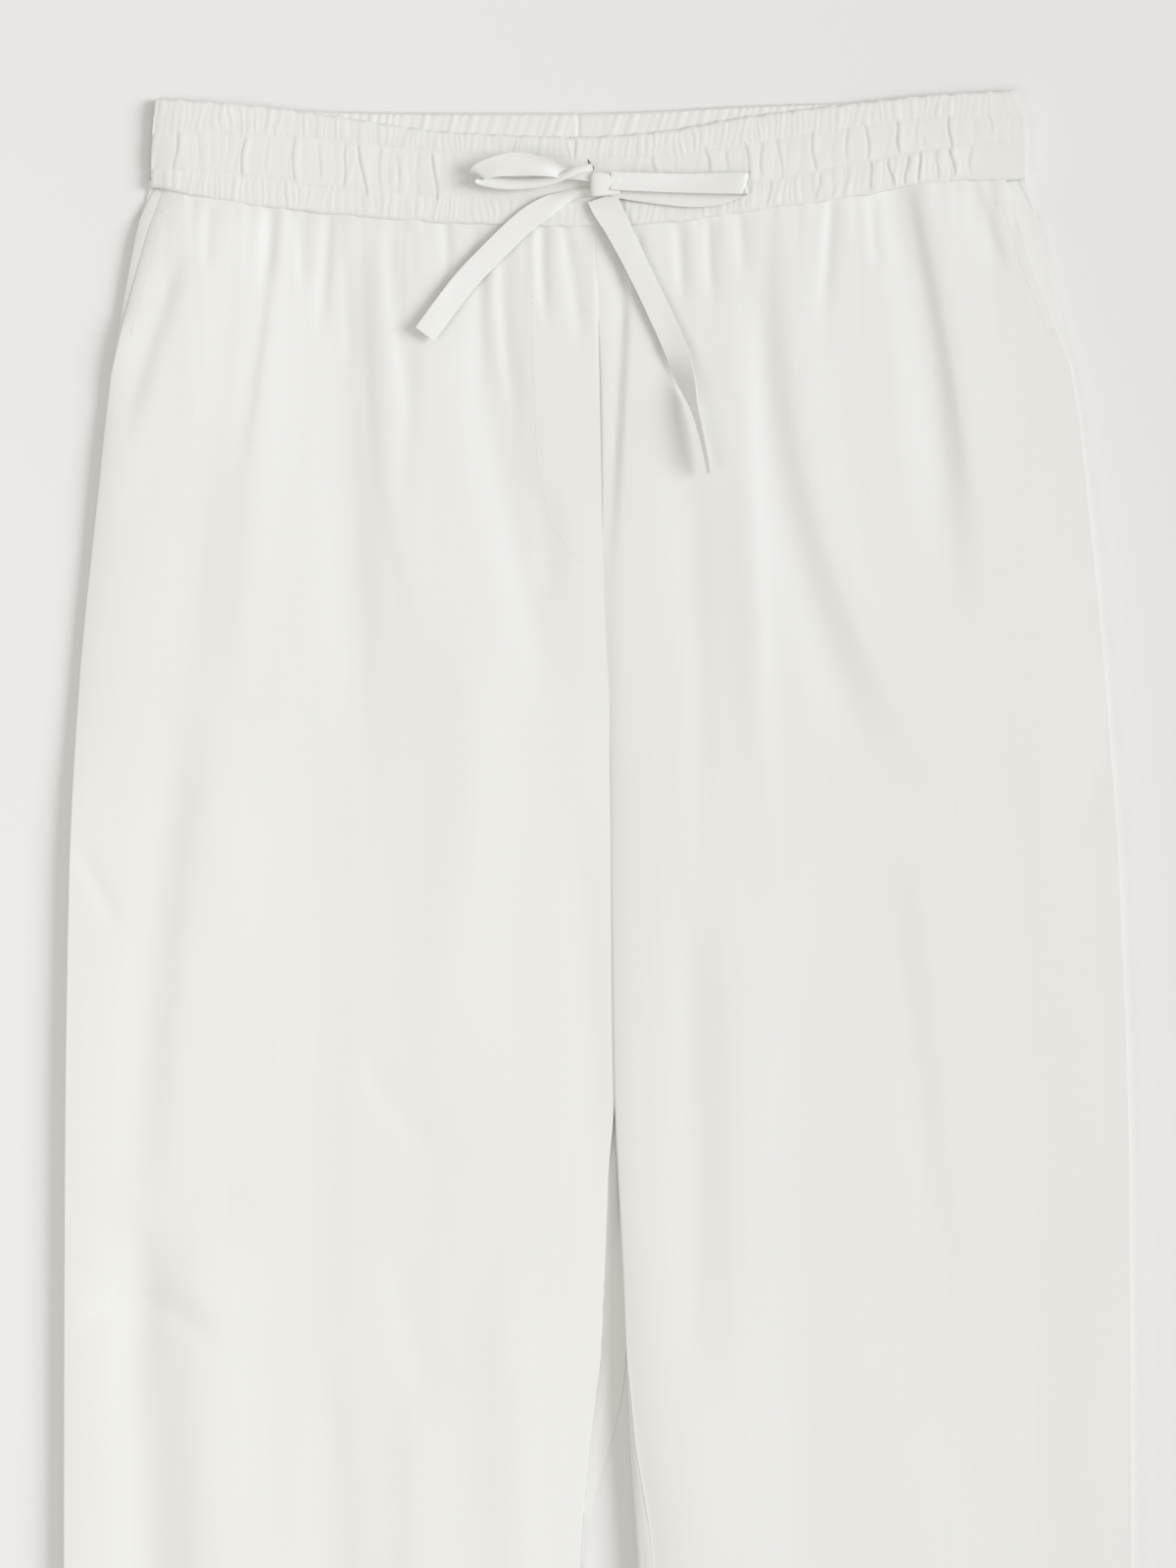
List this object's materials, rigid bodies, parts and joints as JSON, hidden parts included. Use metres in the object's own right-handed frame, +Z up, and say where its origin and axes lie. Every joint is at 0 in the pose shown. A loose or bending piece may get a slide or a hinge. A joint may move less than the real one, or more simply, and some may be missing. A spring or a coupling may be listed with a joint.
{
  "type": "linen drawstring trousers",
  "caption": "Straight wide-leg linen trousers laid flat, with a gathered elastic waistband, slanted pocket mouths and a flat self-fabric drawstring tied in a bow.",
  "frame": {"origin": "centre of the box around the trousers without the drawstring, on the surface they lie on", "axes": "+Y from the hems towards the waist, +Z up from the surface through the back and then the front, +X towards the wearer's left leg"},
  "size_m": [0.5444, 1.0363, 0.0162],
  "materials": {
    "linen_cloth": "matte off-white plain-weave linen",
    "linen_band": "matte off-white linen gathered over elastic",
    "linen_tape": "matte off-white self-fabric tape"
  },
  "bodies": {
    "root": {"back_left": "linen_cloth", "back_right": "linen_cloth", "front_left": "linen_cloth", "front_right": "linen_cloth", "pocket_facing_left": "linen_cloth", "pocket_facing_right": "linen_cloth", "waistband_back": "linen_band", "waistband_front": "linen_band", "drawstring_knot": "linen_tape", "drawstring_loop_left": "linen_tape", "drawstring_loop_right": "linen_tape", "drawstring_tail_left": "linen_tape", "drawstring_tail_right": "linen_tape"}
  },
  "joints": []
}
